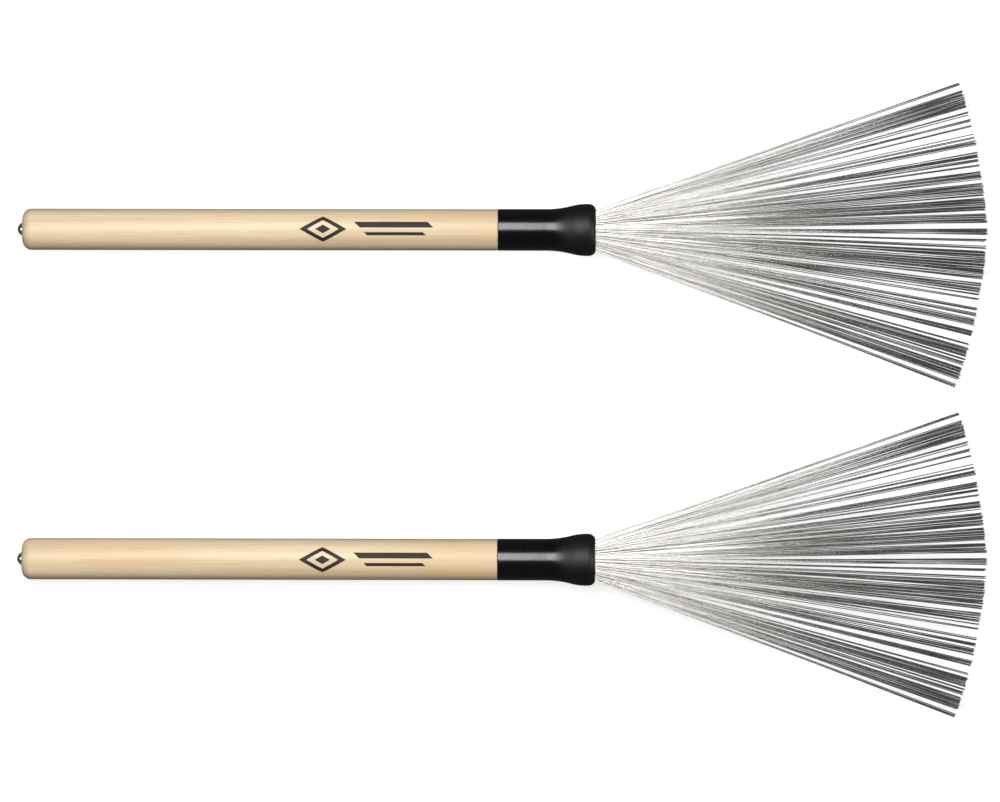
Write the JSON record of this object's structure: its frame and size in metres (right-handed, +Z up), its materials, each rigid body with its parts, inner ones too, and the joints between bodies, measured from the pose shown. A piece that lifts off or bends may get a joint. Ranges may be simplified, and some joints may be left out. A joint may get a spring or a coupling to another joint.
{
  "type": "wire drum brushes",
  "caption": "Retractable wire drum brushes: turned wooden handle, flared black mouthpiece, and a flat fan of steel wires that a ball-ended rod draws into the handle.",
  "frame": {"origin": "on the table, midway between the two brushes and midway from the butt balls to the wire tips", "axes": "+X from the butts to the wire tips, +Y across the pair towards brush 1, +Z up from the table"},
  "size_m": [0.33, 0.2188, 0.0177],
  "materials": {
    "handle_wood": "clear satin lacquer over straight-grained pale hickory",
    "tube_aluminium": "drawn tube, as made",
    "mouthpiece_plastic": "moulded, glossy black",
    "ring_steel": "plain pressed steel",
    "bush_nylon": "black nylon",
    "ring_rubber": "moulded O-ring",
    "rod_steel": "drawn steel rod",
    "ball_chrome": "polished",
    "ferrule_brass": "turned brass",
    "bond_resin": "set bonding resin",
    "wire_steel": "bright drawn spring steel"
  },
  "bodies": {
    "handle_1": {"wood_handle_1": "handle_wood", "guide_tube_1": "tube_aluminium", "mouthpiece_1": "mouthpiece_plastic", "stop_ring_1": "ring_steel", "rod_bush_1": "bush_nylon"},
    "ring_1": {"friction_ring_1": "ring_rubber"},
    "rod_1": {"pull_rod_1": "rod_steel", "pull_ball_1": "ball_chrome", "wire_ferrule_1": "ferrule_brass", "bond_plug_1": "bond_resin", "rib_wires_1": "wire_steel", "fan_wires_1": "wire_steel"},
    "handle_2": {"wood_handle_2": "handle_wood", "guide_tube_2": "tube_aluminium", "mouthpiece_2": "mouthpiece_plastic", "stop_ring_2": "ring_steel", "rod_bush_2": "bush_nylon"},
    "ring_2": {"friction_ring_2": "ring_rubber"},
    "rod_2": {"pull_rod_2": "rod_steel", "pull_ball_2": "ball_chrome", "wire_ferrule_2": "ferrule_brass", "bond_plug_2": "bond_resin", "rib_wires_2": "wire_steel", "fan_wires_2": "wire_steel"}
  },
  "joints": [
    {"name": "brush_2_lift", "type": "slide", "parent": "handle_1", "child": "handle_2", "axis": [0, 0, 1], "range_m": [0, 0.12]},
    {"name": "rod_slide_1", "type": "slide", "parent": "handle_1", "child": "ring_1", "axis": [-1, 0, -0.0095], "range_m": [0, 0.136], "deforming": ["fan_wires_1", "rib_wires_1"]},
    {"name": "rod_spin_1", "type": "hinge", "parent": "ring_1", "child": "rod_1", "pos_m": [-0.00661, 0.0561, 0.00851], "axis": [1, 0, 0.0095], "continuous": true},
    {"name": "rod_slide_2", "type": "slide", "parent": "handle_2", "child": "ring_2", "axis": [-1, 0, -0.0095], "range_m": [0, 0.136], "deforming": ["fan_wires_2", "rib_wires_2"]},
    {"name": "rod_spin_2", "type": "hinge", "parent": "ring_2", "child": "rod_2", "pos_m": [-0.00661, -0.0561, 0.00851], "axis": [1, 0, 0.0095], "continuous": true}
  ]
}
